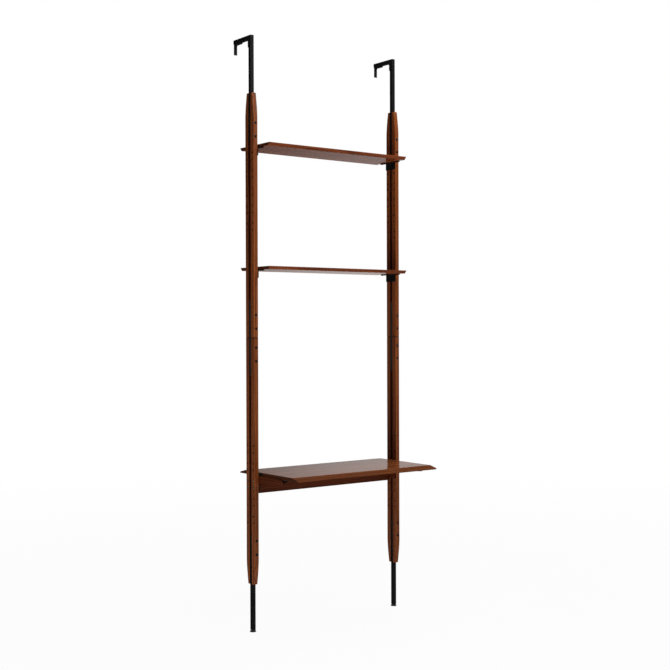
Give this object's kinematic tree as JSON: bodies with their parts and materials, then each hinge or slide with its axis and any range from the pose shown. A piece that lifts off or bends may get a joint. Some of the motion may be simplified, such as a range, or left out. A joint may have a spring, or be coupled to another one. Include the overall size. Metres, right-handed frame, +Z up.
{
  "type": "ladder shelf",
  "caption": "Tall wall-hung ladder shelf with slotted wooden posts on steel bars, shelves, a desk board, rail hooks and levelling feet.",
  "frame": {"origin": "on the floor, at the middle of the bounding box's base", "axes": "+Z up, +X to the right as seen from the front, +Y towards the wall"},
  "size_m": [0.886, 0.49, 2.796],
  "materials": {
    "post_wood": "satin lacquer",
    "shelf_wood": "satin lacquer",
    "desk_wood": "satin lacquer",
    "rail_wood": "satin lacquer",
    "black_steel": "satin black",
    "zinc_steel": "zinc plated",
    "rubber": "matt",
    "black_plastic": "matt"
  },
  "bodies": {
    "frame": {"left_upper_post": "post_wood", "left_lower_post": "post_wood", "right_upper_post": "post_wood", "right_lower_post": "post_wood", "left_hook_rod": "black_steel", "right_hook_rod": "black_steel", "left_hook_drop": "black_steel", "right_hook_drop": "black_steel", "left_hook_liner": "rubber", "right_hook_liner": "rubber", "left_rail_pad": "rubber", "right_rail_pad": "rubber", "left_hook_cap": "black_plastic", "right_hook_cap": "black_plastic", "hook_screws": "zinc_steel", "left_joiner_bar": "black_steel", "right_joiner_bar": "black_steel", "left_leg_tube": "black_steel", "right_leg_tube": "black_steel", "post_screws": "black_steel", "left_leg_insert": "black_plastic", "right_leg_insert": "black_plastic", "top_shelf": "shelf_wood", "middle_shelf": "shelf_wood", "top_left_bracket": "black_steel", "top_right_bracket": "black_steel", "middle_left_bracket": "black_steel", "middle_right_bracket": "black_steel", "bracket_screws": "black_steel", "shelf_screws": "black_steel", "desk_top": "desk_wood", "desk_apron": "rail_wood", "left_desk_cheek": "rail_wood", "right_desk_cheek": "rail_wood", "left_desk_nose": "black_steel", "right_desk_nose": "black_steel", "left_desk_spacer": "black_steel", "right_desk_spacer": "black_steel", "desk_bolts": "zinc_steel", "cheek_insert_nuts": "zinc_steel", "apron_barrel_nuts": "zinc_steel", "desk_screws": "black_steel", "nose_screws": "black_steel"},
    "left_foot": {"left_foot_pad": "rubber"},
    "right_foot": {"right_foot_pad": "rubber"},
    "left_stem": {"left_foot_stem": "zinc_steel"},
    "right_stem": {"right_foot_stem": "zinc_steel"}
  },
  "joints": [
    {"name": "left_foot_slide", "type": "slide", "parent": "frame", "child": "left_foot", "axis": [0, 0, -1], "range_m": [0, 0.015]},
    {"name": "left_stem_turn", "type": "hinge", "parent": "left_foot", "child": "left_stem", "pos_m": [-0.4285, 0.104, 0], "axis": [0, 0, 1], "range_deg": [0, 4320]},
    {"name": "right_foot_slide", "type": "slide", "parent": "frame", "child": "right_foot", "axis": [0, 0, -1], "range_m": [0, 0.015]},
    {"name": "right_stem_turn", "type": "hinge", "parent": "right_foot", "child": "right_stem", "pos_m": [0.4285, 0.104, 0], "axis": [0, 0, 1], "range_deg": [0, 4320]}
  ],
  "couplings": [
    {"joint": "left_stem_turn", "follows": "left_foot_slide", "rad_per_m": 5026.5},
    {"joint": "right_stem_turn", "follows": "right_foot_slide", "rad_per_m": 5026.5}
  ]
}
